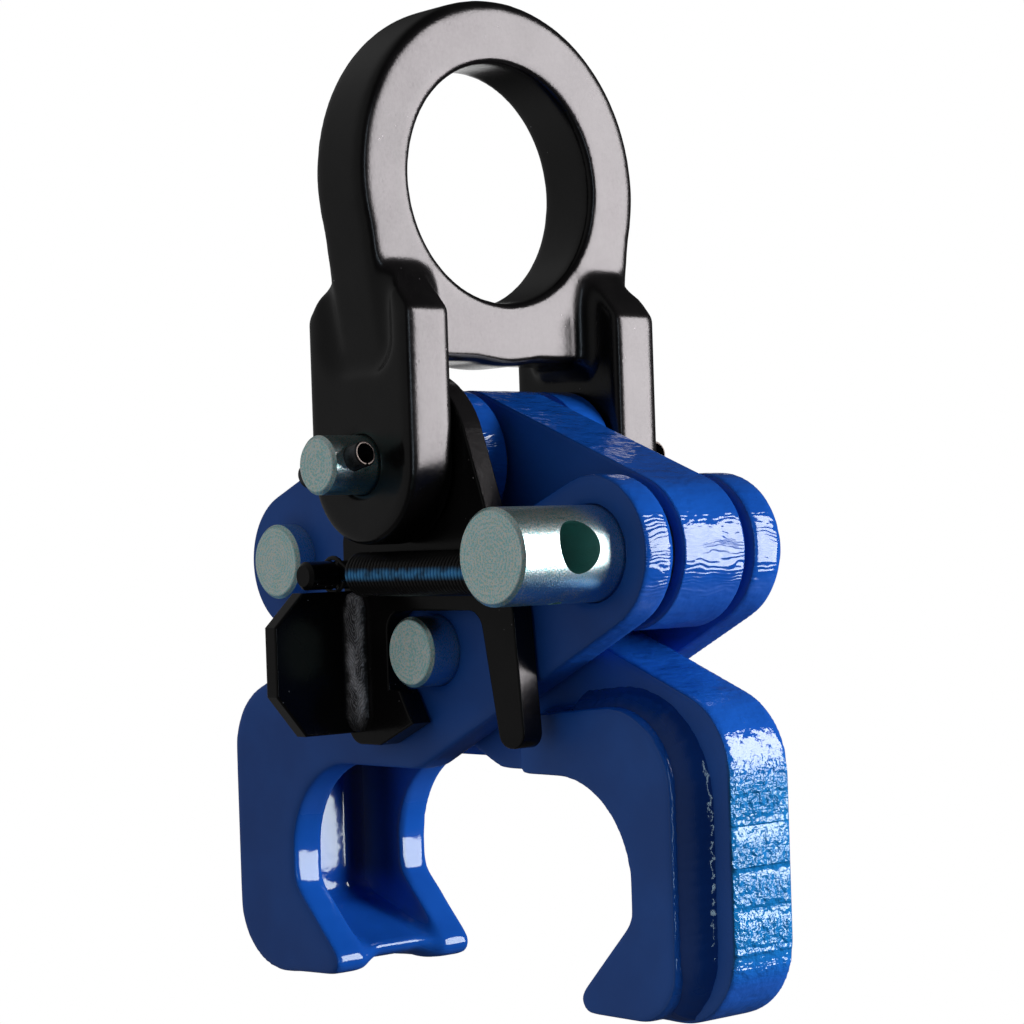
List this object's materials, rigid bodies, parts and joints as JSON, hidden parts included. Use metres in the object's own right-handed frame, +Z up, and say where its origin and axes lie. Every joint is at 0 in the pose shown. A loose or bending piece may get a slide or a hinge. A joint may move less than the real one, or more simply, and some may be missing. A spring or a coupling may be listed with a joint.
{
  "type": "rail lifting clamp",
  "caption": "Scissor clamp that grips a rail's head between hooked jaws and hangs from a forged lifting eye, with a spring-loaded lock plate that holds it open.",
  "frame": {"origin": "centre of the lifting eye", "axes": "+X across the rail and along the lifting eye's bore, +Y along the rail and the pivot pins, +Z up"},
  "size_m": [0.17, 0.1066, 0.2419],
  "materials": {
    "forged_black": "satin black",
    "clamp_blue": "gloss enamel",
    "zinc_steel": "zinc plated",
    "roll_pin_dark": "blackened",
    "washer_dark": "blackened",
    "lock_black": "satin black",
    "weld_dark": "as welded",
    "spring_dark": "oiled"
  },
  "bodies": {
    "bail": {"bail": "forged_black"},
    "shackle": {"shackle_pin": "zinc_steel", "shackle_roll_pins": "roll_pin_dark"},
    "left_links": {"left_link_front": "clamp_blue", "left_link_rear": "clamp_blue", "left_eye_pin": "zinc_steel"},
    "right_link": {"right_link": "clamp_blue", "spring_pin": "zinc_steel", "spring_anchor": "roll_pin_dark", "link_washers": "washer_dark"},
    "right_jaw": {"right_jaw_plate": "clamp_blue", "right_jaw_cheek_front": "clamp_blue", "right_jaw_cheek_rear": "clamp_blue", "right_jaw_weld_front": "clamp_blue", "right_jaw_weld_rear": "clamp_blue", "jaw_washers": "washer_dark"},
    "left_jaw": {"left_jaw_front_plate": "clamp_blue", "left_jaw_rear_plate": "clamp_blue", "left_jaw_back_wall": "clamp_blue", "left_jaw_lip": "clamp_blue", "left_jaw_welds": "clamp_blue", "centre_pin": "zinc_steel"},
    "lock": {"lock_plate": "lock_black", "lock_thumb_plate": "lock_black", "lock_weld": "weld_dark", "spring_post": "lock_black", "lock_spring": "spring_dark"}
  },
  "joints": [
    {"name": "tong_swing", "type": "hinge", "parent": "bail", "child": "shackle", "pos_m": [0, 0, -0.068], "axis": [0, 1, 0], "range_deg": [-40, 40]},
    {"name": "right_link_close", "type": "hinge", "parent": "shackle", "child": "right_link", "pos_m": [0, 0, -0.068], "axis": [0, 1, 0], "range_deg": [0, 15]},
    {"name": "left_links_close", "type": "hinge", "parent": "shackle", "child": "left_links", "pos_m": [0, 0, -0.068], "axis": [0, 1, 0], "range_deg": [-15, 0]},
    {"name": "right_jaw_close", "type": "hinge", "parent": "left_links", "child": "right_jaw", "pos_m": [-0.05563, 0, -0.09048], "axis": [0, 1, 0], "range_deg": [0, 30]},
    {"name": "left_jaw_close", "type": "hinge", "parent": "right_link", "child": "left_jaw", "pos_m": [0.05563, 0, -0.09048], "axis": [0, 1, 0], "range_deg": [-30, 0]},
    {"name": "lock_turn", "type": "hinge", "parent": "shackle", "child": "lock", "pos_m": [0, 0, -0.068], "axis": [0, 1, 0], "range_deg": [0, 15]}
  ],
  "couplings": [
    {"joint": "left_links_close", "follows": "right_link_close", "ratio": -1},
    {"joint": "right_jaw_close", "follows": "right_link_close", "ratio": 2},
    {"joint": "left_jaw_close", "follows": "right_link_close", "ratio": -2},
    {"joint": "lock_turn", "follows": "right_link_close", "ratio": 1}
  ]
}
